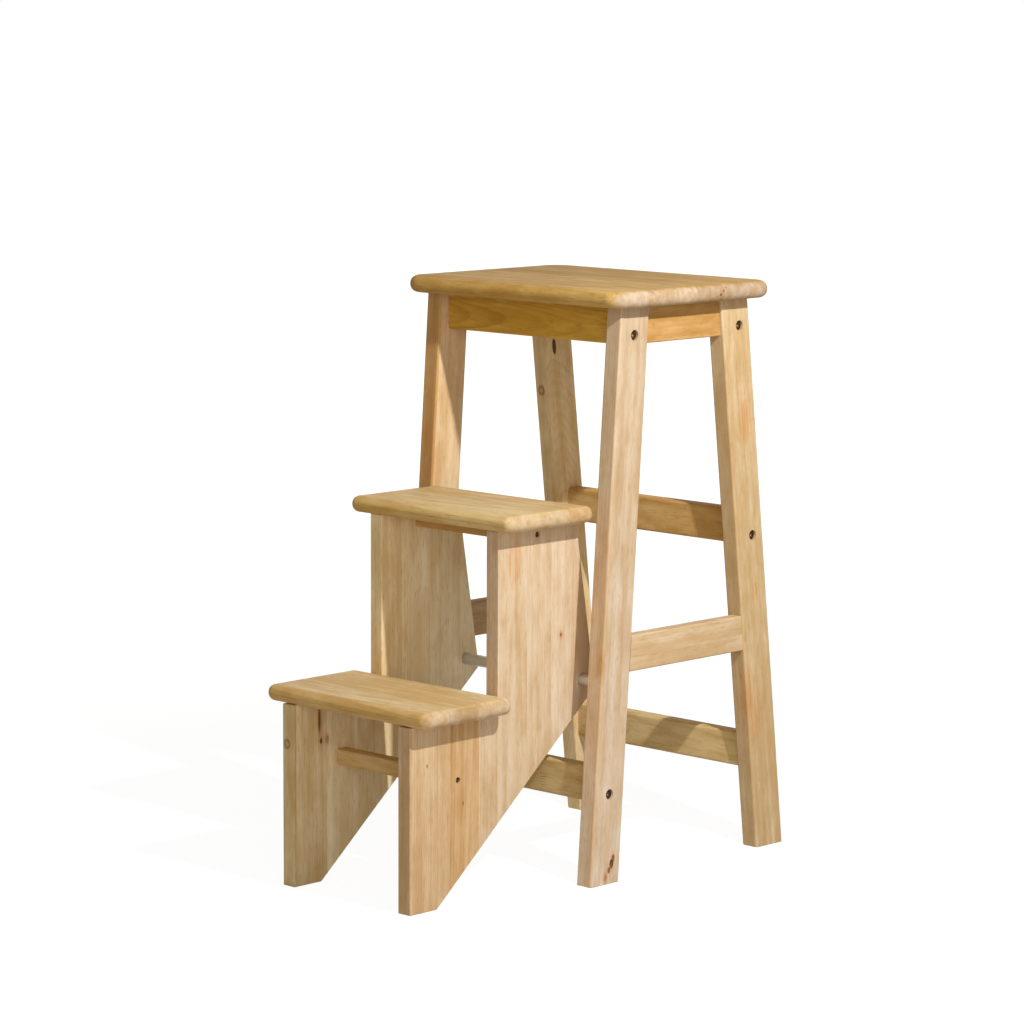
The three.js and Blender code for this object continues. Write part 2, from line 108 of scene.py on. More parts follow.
LEG_DEPTH = 45 * MM
LEG_EDGE = 2.5 * MM
LEG_END_EASE = 0.8 * MM
APRON_EDGE = 2 * MM
STRETCHER_EDGE = 3 * MM
STEP_RAIL_EDGE = 2 * MM
BAR_END_EASE = 0.3 * MM
SEAT_CORNER = 27 * MM
SEAT_NOSE = 9 * MM
TREAD_CORNER = 10 * MM
TREAD_NOSE = 8.5 * MM
STRINGER_EDGE = 1.0 * MM
STRINGER_CORNER = 1.1 * MM
STRINGER_FOOT = 40 * MM
BACK_CORNER_BELOW_ROD = 11.5 * MM
TREAD_BEHIND_STRINGER = 4 * MM
JOINT_GAP = 0.3 * MM
BORE_CLEARANCE = 0.3 * MM
PEG_CLEARANCE = 0.15 * MM
ROD_CLEARANCE = 0.4 * MM
CUTTER_LEAD = 6 * MM
PEG_CUTTER_LEAD = 2 * MM
PEG_EASE = 0.35 * MM
PEG_POINT = 1 * MM
ROD_EASE = 1 * MM
EASE_STEP = 0.3
RECESS_CHAMFER = 0.12 * MM
RECESS_FLOOR_SHARE = 0.92

# How many points or rings draw a rounding or a full turn.
BOARD_STEPS = 10
BAR_EDGE_STEPS = 7
BAR_END_STEPS = 4
STRINGER_STEPS = 6
SIDE_MEMBER_RINGS = 5
TURNED_STEPS = 40
ROD_STEPS = 64
HEAD_STEPS = 48

# How worn the edges of bars and stringers are, against the seat's and the treads' noses, whose
# golden edge tone is also painted warm shade.
BAR_WEAR = 0.15

SIDES = (("left", -1), ("right", 1))


def span(node):
    """The lowest and highest corner of a CAD node as arrays."""
    low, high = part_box(node)
    return np.array(low), np.array(high)


def middle_of(node):
    """The middle of a CAD node's box."""
    low, high = span(node)
    return (low + high) / 2


# ---------------------------------------- surfaces

Surface = namedtuple("Surface", "points faces wear")


def closed_by_rings(rings, wear=0.0):
    """A closed surface on a grid of rings of points. Quads join each ring to the next, point by
    point, and one flat face closes the first ring and one the last."""
    count, around = rings.shape[:2]
    index = np.arange(count * around).reshape(count, around)
    here, there = index[:-1], index[1:]
    quads = np.stack([here, np.roll(here, -1, 1), np.roll(there, -1, 1), there], -1)
    faces = quads.reshape(-1, 4).tolist() + [index[0][::-1].tolist(), index[-1].tolist()]
    spread = np.broadcast_to(np.reshape(wear, (-1, 1)), (count, around)).ravel()
    return Surface(rings.reshape(-1, 3), faces, spread)


def joined(surfaces):
    """Several closed surfaces as one, each keeping its own points."""
    starts = np.cumsum([0] + [len(s.points) for s in surfaces])
    faces = [[i + start for i in face] for s, start in zip(surfaces, starts) for face in s.faces]
    points = np.concatenate([s.points for s in surfaces])
    return Surface(points, faces, np.concatenate([s.wear for s in surfaces]))


def round_corners(corners, radius, steps):
    """A flat outline with round corners, as points and outward directions. At each corner the
    outward direction turns evenly from one side's normal to the next side's, and the point lies
    that direction times the radius away from the arc's middle, on the near side of the middle
    where the corner points inwards. The arc's middle is set back from the corner by the radius
    times the tangent of half the turn, along the side, and by the radius across it."""
    corners = np.asarray(corners, float)
    arriving = corners - np.roll(corners, 1, 0)
    arriving /= np.linalg.norm(arriving, axis=1, keepdims=True)
    leaving = np.roll(arriving, -1, 0)
    sine = arriving[:, 0] * leaving[:, 1] - arriving[:, 1] * leaving[:, 0]
    turn = np.arctan2(sine, (arriving * leaving).sum(1))
    normal = np.stack([arriving[:, 1], -arriving[:, 0]], -1)
    signed = (np.sign(turn) * radius)[:, None]
    back = (radius * np.tan(np.abs(turn) / 2))[:, None]
    middle = corners - back * arriving - signed * normal
    first = np.arctan2(normal[:, 1], normal[:, 0])[:, None]
    angle = first + turn[:, None] * np.linspace(0, 1, steps)
    outward = np.stack([np.cos(angle), np.sin(angle)], -1)
    points = middle[:, None] + signed[:, None] * outward
    return points.reshape(-1, 2), outward.reshape(-1, 2)


def plate(outline, thickness, edge, steps):
    """A plate over a flat outline, with its height along the third axis. Each ring is the outline
    pulled inwards: over the quarter round of the lower edge the pull is the edge radius times one
    minus the sine, and the height the edge radius times one minus the cosine, and the upper edge
    is the same from the top down. The angle of each ring comes with the rings."""
    points, outward = outline
    quarter = np.linspace(0, math.pi / 2, steps)
    pull = edge * (1 - np.sin(quarter))
    rise = edge * (1 - np.cos(quarter))
    pulls = np.concatenate([pull, pull[::-1]])[:, None, None]
    heights = np.concatenate([rise, thickness - rise[::-1]])[:, None, None]
    flat = points - pulls * outward
    level = np.broadcast_to(heights, (*flat.shape[:2], 1))
    return np.concatenate([flat, level], -1), np.concatenate([quarter, quarter[::-1]])


def laid(rings, origin, first, second, third):
    """Rings moved from their own axes to the object's: a point is the origin plus each of its
    three numbers times that axis."""
    return rings @ np.array([first, second, third]) + origin


def rectangle(width, depth):
    """The corners of a rectangle about zero, anticlockwise."""
    return [(x * width / 2, y * depth / 2) for x, y in ((-1, -1), (1, -1), (1, 1), (-1, 1))]


def bullnose_board(node, corner, nose):
    """A level board in a CAD node's box, its edge rounded by the nose radius above and below. Its
    wear is the sine of the rounding's angle, one at the outermost line, and it also lays painted
    warm shade on the nose."""
    low, high = span(node)
    width, depth, thickness = high - low
    outline = round_corners(rectangle(width, depth), corner, BOARD_STEPS)
    rings, angle = plate(outline, thickness, nose, BOARD_STEPS)
    return closed_by_rings(laid(rings, [*(low + high)[:2] / 2, low[2]], X, Y, Z), np.sin(angle))


def long_edge_wear(outward):
    """Wear along a bar's eased long edges: the bars' share of wear times the size of twice the
    product of the two parts of the outward direction, which is one in the middle of a corner and
    zero on the flats."""
    return BAR_WEAR * np.abs(2 * outward[:, 0] * outward[:, 1])


def eased_bar(node, edge, ease, lean=0.0):
    """A bar in a CAD node's box, along its longest side, with its long edges eased by one radius
    and its ends by another. Lean is how far its section moves along Y over its length. Wear is
    that of the long edges, or the bars' share of wear times the sine of twice the end easing's
    angle where that is more."""
    low, high = span(node)
    size = high - low
    if size[0] > size[2]:
        length, width, depth = size
        first, second, third = Y, Z, X
        origin = [low[0], *(low + high)[1:] / 2]
    else:
        width, depth, length = size[0], size[1] - abs(lean), size[2]
        first, second, third = X, Y, Z + Y * lean / size[2]
        middle_y = (low[1] + high[1] - lean) / 2
        origin = [(low[0] + high[0]) / 2, middle_y, low[2]]
    outline = round_corners(rectangle(width, depth), edge, BAR_EDGE_STEPS)
    rings, angle = plate(outline, length, ease, BAR_END_STEPS)
    surface = closed_by_rings(laid(rings, origin, first, second, third))
    end_wear = BAR_WEAR * np.sin(2 * angle)
    spread = np.maximum(long_edge_wear(outline[1]), end_wear[:, None])
    return surface._replace(wear=spread.ravel())


def circle(count):
    """Angles of a full turn, evenly spaced."""
    return np.arange(count) * 2 * math.pi / count


def axes_about(direction):
    """Two directions square to a given one and to each other, and the given one."""
    direction = np.asarray(direction, float)
    first = Y if abs(direction[1]) < 0.5 else X
    return first, np.cross(direction, first), direction


def turned(start, direction, profile, around=TURNED_STEPS):
    """A turned solid. Each entry of the profile is a radius and a distance along the axis from the
    start: the ring's points are that radius times the cosine and the sine of the angle."""
    angle = circle(around)
    radius, along = np.array(profile).T
    flat = radius[:, None, None] * np.stack([np.cos(angle), np.sin(angle)], -1)
    level = np.broadcast_to(along[:, None, None], (*flat.shape[:2], 1))
    rings = np.concatenate([flat, level], -1)
    return closed_by_rings(laid(rings, start, *axes_about(direction)))


def six_sided(angle):
    """How far a hexagon's edge is from its middle, as a share of its corner's distance: the cosine
    of 30 degrees over the cosine of the angle from the nearest side's middle."""
    return math.cos(math.pi / 6) / np.cos(np.mod(angle, math.pi / 3) - math.pi / 6)


CROSS_ARM_SHARE = 0.24
LEAST_COSINE = 1e-6


def cross_shaped(angle):
    """How far the edge of a cross is from its middle, as a share of its arm's length: the larger
    of the two bars' distances, each bar being one long and the arm's share wide to each side."""
    cosine = np.maximum(abs(np.cos(angle)), LEAST_COSINE)
    sine = np.maximum(abs(np.sin(angle)), LEAST_COSINE)
    level = np.minimum(1 / cosine, CROSS_ARM_SHARE / sine)
    upright = np.minimum(1 / sine, CROSS_ARM_SHARE / cosine)
    return np.maximum(level, upright)


# A bolt or a screw: its head's height, its shank's share of the head's radius, its point's length,
# the share of the shank that is left at its end, the rings of its head, each as what it takes off
# the head's radius and how far down it is, and its driving recess's shape, reach and depth.
Fastener = namedtuple("Fastener", "head_height shank_share point end_share rings recess")
FASTENERS = {
    "bolt": Fastener(
        3.5 * MM,
        3.5 / 5.5,
        5 * MM,
        0.4,
        ((0.9 * MM, 0), (0.25 * MM, 0.25 * MM), (0, 0.9 * MM), (0, 2.45 * MM)),
        (six_sided, 2.3 * MM, 2.4 * MM),
    ),
    "screw": Fastener(
        2.6 * MM,
        2 / 3.1,
        4 * MM,
        0.2,
        ((0.3 * MM, 0), (0, 0.3 * MM), (0, 0.7 * MM)),
        (cross_shaped, 2.0 * MM, 1.3 * MM),
    ),
}


def headed_pin(start, direction, form, head, length):
    """A bolt or screw with a driving recess in its head. The first rings are the recess: its
    shape's radius as a function of the angle, at its floor and then at its rim. Round rings follow
    it out over the head, down its side, along the shank and to the point. The wear attribute is
    one on the recess's floor, which lays a painted glint there."""
    angle = circle(HEAD_STEPS)
    shape, reach, depth = form.recess
    rim = shape(angle) * reach
    shank = head * form.shank_share
    rounds = [(head - less, along) for less, along in form.rings]
    rounds += [(shank, form.head_height), (shank, length - form.point)]
    rounds.append((shank * form.end_share, length))
    rings = [(rim * RECESS_FLOOR_SHARE, depth), (rim, RECESS_CHAMFER), (rim + RECESS_CHAMFER, 0)]
    rings += [(np.full(HEAD_STEPS, radius), along) for radius, along in rounds]
    points = [
        np.stack([radius * np.cos(angle), radius * np.sin(angle), np.full(HEAD_STEPS, along)], -1)
        for radius, along in rings
    ]
    # The recess floor carries the painted glint.
    wear = np.zeros(len(points))
    wear[0] = 1.0
    return closed_by_rings(laid(np.stack(points), start, *axes_about(direction)), wear)


# ---------------------------------------- finishes


def grey(value):
    """A grey of a linear value."""
    return (value, value, value, 1.0)


def colour(red, green, blue):
    """A colour given in screen values from 0 to 255, as the linear values that nodes take: below
    about 4% the value over 12.92, and above it the value plus 0.055, over 1.055, to the power
    2.4."""
    values = np.array([red, green, blue]) / 255
    linear = np.where(values <= 0.04045, values / 12.92, ((values + 0.055) / 1.055) ** 2.4)
    return (*linear.tolist(), 1.0)


class Nodes:
    """The nodes of a material or of the world, with short calls for the kinds used here."""

    def __init__(self, owner):
        owner.use_nodes = True
        self.owner, self.tree = owner, owner.node_tree
        self.tree.nodes.clear()

    def add(self, kind, sockets=(), **settings):
        made = self.tree.nodes.new(kind)
        for setting, value in settings.items():
            setattr(made, setting, value)
        for socket, value in dict(sockets).items():
            if isinstance(value, bpy.types.NodeSocket):
                self.tree.links.new(value, made.inputs[socket])
            else:
                made.inputs[socket].default_value = value
        return made

    def calc(self, operation, *values, clamp=False):
        made = self.add("ShaderNodeMath", enumerate(values), operation=operation, use_clamp=clamp)
        return made.outputs[0]

    def plus(self, start, *terms):
        """A start plus each value times its share."""
        for value, share in terms:
            start = self.calc("MULTIPLY_ADD", value, share, start)
        return start

    def distance(self, parts):
        """The square root of the sum of the parts' squares."""
        squares = 0.0
        for part in parts:
            squares = self.calc("MULTIPLY_ADD", part, part, squares)
        return self.calc("SQRT", squares)

    def vector(self, operation, *values):
        made = self.add("ShaderNodeVectorMath", enumerate(values), operation=operation)
        return made.outputs["Value" if operation in ("DOT_PRODUCT", "LENGTH") else "Vector"]

    def combine(self, x, y, z):
        return self.add("ShaderNodeCombineXYZ", {0: x, 1: y, 2: z}).outputs[0]

    def noise(self, place, scale, seed, detail=2.0, roughness=0.5):
        """Noise over a place stretched by a scale for each axis, from 0 to 1."""
        moved = self.vector("MULTIPLY_ADD", place, scale, seed)
        sockets = {"Vector": moved, "Scale": 1, "Detail": detail, "Roughness": roughness}
        return self.add("ShaderNodeTexNoise", sockets).outputs[0]

    def mix(self, share, first, second, blend="MIX"):
        sockets = {0: share, 6: first, 7: second}
        made = self.add("ShaderNodeMix", sockets, data_type="RGBA", blend_type=blend)
        return made.outputs[2]

    def between(self, value, start, end, low=0.0, high=1.0, smooth=True):
        """A value from start to end becomes one from low to high, and is held there outside."""
        kind = "SMOOTHSTEP" if smooth else "LINEAR"
        sockets = {0: value, 1: start, 2: end, 3: low, 4: high}
        return self.add("ShaderNodeMapRange", sockets, interpolation_type=kind).outputs[0]

    def ramp(self, value, stops, kind="LINEAR"):
        made = self.add("ShaderNodeValToRGB", {0: value})
        made.color_ramp.interpolation = kind
        elements = made.color_ramp.elements
        elements.remove(elements[1])
        elements[0].position, elements[0].color = stops[0]
        for place, tint in stops[1:]:
            elements.new(place).color = tint
        return made.outputs[0]

    def finish(self, base, roughness, height, bump, depth, **shader):
        """The surface: a Principled shader whose bump comes from a height."""
        raised = {"Strength": bump, "Distance": depth, "Height": height}
        normal = self.add("ShaderNodeBump", raised).outputs[0]
        sockets = {"Base Color": base, "Roughness": roughness, "Normal": normal}
        sockets.update({key.replace("_", " "): value for key, value in shader.items()})
        surface = self.add("ShaderNodeBsdfPrincipled", sockets).outputs[0]
        self.add("ShaderNodeOutputMaterial", {"Surface": surface})
        return self.owner

    def seen(self):
        """One for what the camera sees, straight, in a reflection or through something clear."""
        path = self.add("ShaderNodeLightPath").outputs
        indirect = self.calc("MAXIMUM", path["Is Glossy Ray"], path["Is Transmission Ray"])
        return self.calc("MAXIMUM", path["Is Camera Ray"], indirect)


# How a board was cut: its middle, and the directions of its fibres and across its wide face.
Cut = namedtuple("Cut", "middle along across")

# A knot or a mark on a board: its place and radius in millimetres, how many times longer it is
# along the fibres, how dark its rim is, how wide its amber surround is in radii, and how brown
# its heart is.
Mark = namedtuple("Mark", "place radius stretch darkness surround heart", defaults=[0.7])

Wood = namedtuple("Wood", "pale honey late")
SEAT_WOOD = Wood(colour(214, 176, 122), colour(196, 152, 92), colour(160, 112, 58))
LEG_WOOD = Wood(colour(233, 206, 164), colour(220, 184, 134), colour(192, 148, 96))
RAIL_WOOD = Wood(colour(222, 184, 130), colour(206, 162, 100), colour(164, 118, 62))
STRINGER_WOOD = Wood(colour(230, 200, 160), colour(218, 180, 132), colour(190, 146, 100))
TREAD_WOOD = Wood(colour(220, 188, 138), colour(204, 164, 106), colour(170, 126, 72))
PEG_WOOD = Wood(colour(232, 204, 160), colour(222, 186, 136), colour(186, 142, 92))

# Each board's tint: how much more or less red, green and blue light it returns than the plain wood
# of its kind. It is partly the board's own tone and partly painted light. Boards that sit in
# shade, such as the left rear leg, the left stringer and the rear low stretcher, are made paler as
# painted fill light. The front apron under the seat is made golden as painted warm shade.
TINTS_AND_PAINTED_LIGHT = {
    "seat_board": (0.77, 0.76, 0.63),
    "front_leg_left": (0.85, 0.78, 0.74),
    "front_leg_right": (0.76, 0.77, 0.92),
    "rear_leg_left": (1.12, 1.12, 1.09),
    "rear_leg_right": (0.76, 0.73, 0.70),
    "front_apron": (0.99, 0.88, 0.33),
    "rear_apron": (0.88, 0.84, 0.70),
    "side_apron": (0.74, 0.64, 0.50),
    "side_stretcher": (0.81, 0.80, 0.85),
    "front_low_stretcher": (0.93, 1.00, 1.00),
    "rear_mid_stretcher": (0.95, 0.90, 0.76),
    "rear_low_stretcher": (1.00, 1.09, 1.11),
    "stringer_left": (1.10, 1.23, 1.27),
    "stringer_right": (0.81, 0.82, 0.89),
    "tread_lower": (0.97, 1.03, 1.15),
    "tread_upper": (0.93, 0.96, 0.98),
    "step_rail": (0.96, 0.98, 0.95),
}

# The staves of glued boards: where each starts across the board, in millimetres from its middle,
# how pale and how orange it is, and where in the log it was cut, the last three from 0 to 1. The
# left front leg has a strip of amber heartwood along its front face, and the right one's front
# face is a little warmer than its side. On both legs the tone of the front face, which turns from
# the lamp, is also painted light.
STAVES = {
    "seat_board": (
        (-130, 0.80, 0.20, 0.45),
        (-121, 0.60, 0.06, 0.45),
        (-74, 0.42, 0.08, 0.25),
        (-37, 0.60, 0.0, 0.10),
        (-6, 0.40, 0.14, 0.55),
        (38, 0.58, 0.06, 0.75),
        (84, 0.46, 0.02, 0.35),
    ),
    # The front legs' first staves are their front faces, partly painted light.
    "front_leg_left": ((-30, 0.14, 0.8, 0.35), (-21.2, 0.56, 0.0, 0.6)),
    "front_leg_right": ((-30, 0.70, 0.42, 0.5), (-21.2, 0.50, 0.0, 0.5)),
    "stringer_right": (
        (-160, 0.50, 0.34, 0.30),
        (-124, 0.46, 0.44, 0.80),
        (-103, 0.52, 0.20, 0.45),
        (-83, 0.36, 0.76, 0.10),
        (-40, 0.56, 0.02, 0.65),
        (-11, 0.48, 0.04, 0.90),
        (34, 0.52, 0.02, 0.20),
        (71, 0.72, 0.0, 0.50),
    ),
    "stringer_left": (
        (-160, 0.04, 0.1, 0.60),
        (-140.5, 0.50, 0.08, 0.15),
        (-129, 0.46, 0.20, 0.85),
        (-95, 0.76, 0.0, 0.35),
        (-48, 0.62, 0.04, 0.70),
        (-13, 0.76, 0.30, 0.25),
        (28, 0.92, 0.0, 0.45),
        (64, 0.90, 0.04, 0.95),
    ),
    "tread_lower": (
        # The lower tread's first stave is its nose, made darker and warmer as painted shade.
        (-80, 0.30, 0.50, 0.05),
        (-60, 0.44, 0.10, 0.05),
        (-32, 0.54, 0.08, 0.85),
        (11.5, 0.64, 0.04, 0.45),
    ),
    "tread_upper": (
        (-80, 0.54, 0.04, 0.20),
        (-13, 0.54, 0.0, 0.35),
        (26, 0.64, 0.28, 0.30),
    ),
}

# Knots and marks, by board.
MARKS = {
    "seat_board": (
        ((170, 133, 639), 1.5, 1.0, 0.7, 2.6, 0.9),
        ((170, 138, 643), 1.2, 1.0, 0.7, 2.4, 0.9),
        ((169, 143, 647), 1.2, 1.0, 0.6, 2.4, 0.9),
    ),
    "front_leg_right": (
        ((149, -11.5, 28), 1.9, 1.7, 0.9, 2.8, 1.0),
        ((149, -14.5, 22), 2.6, 1.7, 0.95, 3.2, 1.0),
        ((149, -18.2, 15.5), 1.9, 1.8, 0.7, 3.2, 0.8),
        ((149, -23.5, 8), 2.2, 2.2, 0.1, 2.6, 0.5),
        ((149, -42.8, 95.6), 2.2, 5.0, 0.35, 2.0),
        ((146, -30.8, 243), 3.6, 2.6, 0.12, 2.6, 0.1),
    ),
    "rear_leg_left": (
        ((-139.8, 173.5, 506.9), 4.2, 1.15, 0.5, 1.8, 0.05),
        ((-127, 180.3, 558.5), 2.6, 3.0, 1.0, 1.8, 1.0),
    ),
    "rear_leg_right": (
        ((149, 200.4, 493.6), 6.0, 2.4, 0.0, 2.4, 0.0),
        ((149, 218.4, 170), 9.0, 3.6, 0.0, 2.0, 0.0),
        ((149, 221.3, 300), 3.2, 2.2, 0.1, 3.0, 0.1),
    ),
    "stringer_right": (
        ((99, -43.6, 274), 1.7, 1.2, 0.3, 4.2, 0.8),
        ((99, -115.8, 361.6), 6.0, 3.0, 0.0, 2.2, 0.0),
        ((99, -247.5, 157.9), 0.9, 2.0, 0.35, 3.0),
        ((99, -193.7, 109.7), 0.9, 2.4, 0.35, 3.0),
    ),
    "stringer_left": (
        ((-81, -235.3, 180), 2.0, 8.0, 0.3, 3.2, 0.9),
        ((-81, -233, 157), 1.7, 1.6, 0.6, 3.6, 1.0),
        ((-81, -224, 158), 2.4, 1.6, 0.2, 3.0, 0.3),
        ((-92, -272.8, 157.7), 4.0, 1.2, 0.45, 1.8, 0.1),
    ),
}

# What end grain returns, against the same board's faces.
END_TINT = (0.90, 0.86, 0.80)
SEAT_END_TINT = (0.97, 1.12, 2.15)
TREAD_END_TINT = (0.79, 0.77, 0.88)

# What the warmest stave returns, against the plain wood.
WARM_TINT = (0.98, 0.82, 0.58)

# What rubbed and rounded edges return, against the flat faces: hands have turned them golden. On
# the noses of the seat and the treads, which turn from the lamp, the golden tone is also painted
# warm shade.
EDGE_WEAR_AND_SHADE_TINT = (1.08, 0.98, 0.66)

AMBER = colour(196, 128, 62)
KNOT_BROWN = colour(120, 70, 34)
KNOT_DARK = colour(48, 24, 12)

# Noise in a board, drawn out along it: waves per metre along it and across it, how many times
# finer noise is laid over it, and how strong the finer noise is.
Noise = namedtuple("Noise", "along across detail roughness", defaults=[0.5])
WANDER = Noise(2.4, 13, 2)
WAVES = Noise(7, 60, 2)
BLOTCH = Noise(3, 16, 3, 0.55)
BAND = Noise(2.2, 120, 2)
MOTTLE = Noise(22, 70, 3, 0.6)
FIBRE = Noise(7, 360, 3, 0.6)
HAIR = Noise(26, 1500, 2, 0.6)
PORES = Noise(75, 900, 1)
PORE_RANGE = (0.61, 0.72)

# How far a board's seed moves its noise along each axis, and how far apart in the noise two staves
# lie that were cut from the log's two ends.
SEED_STEPS = (3.71, 1.93, 5.17)
LOG_STEP = 1.7

# How much darker the wood gets from the least to the most of each.
FIBRE_SHADE = 0.2
HAIR_SHADE = 0.14
BAND_SHADE = 0.18
MOTTLE_SHADE = 0.32
STAVE_SHADE = 0.5
END_SHADE = 0.24
PORE_SHADE = 0.5

# The powers that take one brightness to red, green and blue: darker wood is redder.
REDDENING = (0.7, 1.0, 1.5)

# One year of growth, from 0 to 1: how dark each place in it is, up to a late line that ends
# sharply.
YEAR_LINE = ((0, 0.12), (0.12, 0), (0.45, 0.18), (0.78, 0.8), (0.88, 1), (0.97, 0.25))

# Staves lie within this distance of a board's middle.
STAVE_REACH = 200 * MM

# How far the pith moves from the log's first place to its last, and how far it wanders, both
# across the board and through it.
PITH_SPREAD = (60 * MM, 30 * MM)
PITH_WANDER = (14 * MM, 9 * MM)

# How many years the finer waves bend the rings, and how many years a knot does.
RING_WAVES = 0.9
KNOT_BEND = 1.6

# In a knot's radii: how uneven its edge is, and its dark rim's distance and width.
MARK_WAVES = 0.8
KNOT_RIM = 0.9
RIM_WIDTH = 0.5

# Between these shares of the fibres' direction in a face's own, a face turns to end grain.
END_GRAIN = (0.25, 0.75)

# How strongly and how deep the fibres stand out through the lacquer, and the lines of drawn steel.
LACQUER_BUMP = (0.22, 0.25 * MM)
STEEL_BUMP = (0.15, 0.05 * MM)


def tinted_with_painted_light(wood, node):
    """A kind of wood with a board's tint, painted light included, on each of its colours. Where a
    board and its twin look the same, the table has the name that they share."""
    tint = np.array([*(TINTS_AND_PAINTED_LIGHT.get(node) or TINTS_AND_PAINTED_LIGHT[node.rpartition("_")[0]]), 1.0])
    return Wood(*(tuple((np.array(shade) * tint).tolist()) for shade in wood))


def stave_values(n, y, staves):
    """How pale the wood is, how orange, and from where in the log, by the distance across the
    board: one value from each stave's start to the next."""
    if not staves:
        return 0.5, 0.0, 0.5
    share = n.between(y, -STAVE_REACH, STAVE_REACH, smooth=False)
    stops = [
        ((start * MM + STAVE_REACH) / (2 * STAVE_REACH), (*look, 1)) for start, *look in staves
    ]
    return n.add("ShaderNodeSeparateXYZ", {0: n.ramp(share, stops, "CONSTANT")}).outputs[:]


def years_from_pith(n, place, log_place, wander, waves, log):
    """How many years a place is from the pith: its distance from the pith's line over a year's
    width. The line drifts along the board, wanders, and moves with the place in the log."""
    x, *sides = place
    year, pith, drift = log
    parts = []
    for side, start, slope, spread, reach in zip(sides, pith, drift, PITH_SPREAD, PITH_WANDER):
        line = n.plus(start - spread / 2, (log_place, spread))
        parts.append(n.plus(n.calc("SUBTRACT", side, line), (x, slope), (wander, reach)))
    return n.plus(n.calc("DIVIDE", n.distance(parts), year), (waves, RING_WAVES))


def late_line(n, years, seed):
    """How dark a place is in its year, in some years more than in others."""
    stops = [(place, grey(value)) for place, value in YEAR_LINE]
    late = n.ramp(n.calc("FRACT", years), stops, "EASE")
    year = n.calc("ADD", n.calc("FLOOR", years), float(seed))
    weather = n.add("ShaderNodeTexWhiteNoise", {"W": year}, noise_dimensions="1D").outputs[0]
    return n.calc("MULTIPLY", late, n.between(weather, 0, 1, 0.35, 1.0, smooth=False))


def distance_from(n, mark, place, middle, axes, waves):
    """How far a place is from a mark's middle, in the mark's radii, with an uneven edge."""
    away = np.array(mark.place) * MM - middle
    parts = [
        n.calc("DIVIDE", n.calc("SUBTRACT", part, away @ axis), stretch)
        for part, axis, stretch in zip(place, axes, (mark.stretch, 1, 1))
    ]
    distance = n.calc("DIVIDE", n.distance(parts), mark.radius * MM)
    return n.plus(n.calc("SUBTRACT", distance, MARK_WAVES / 2), (waves, MARK_WAVES))


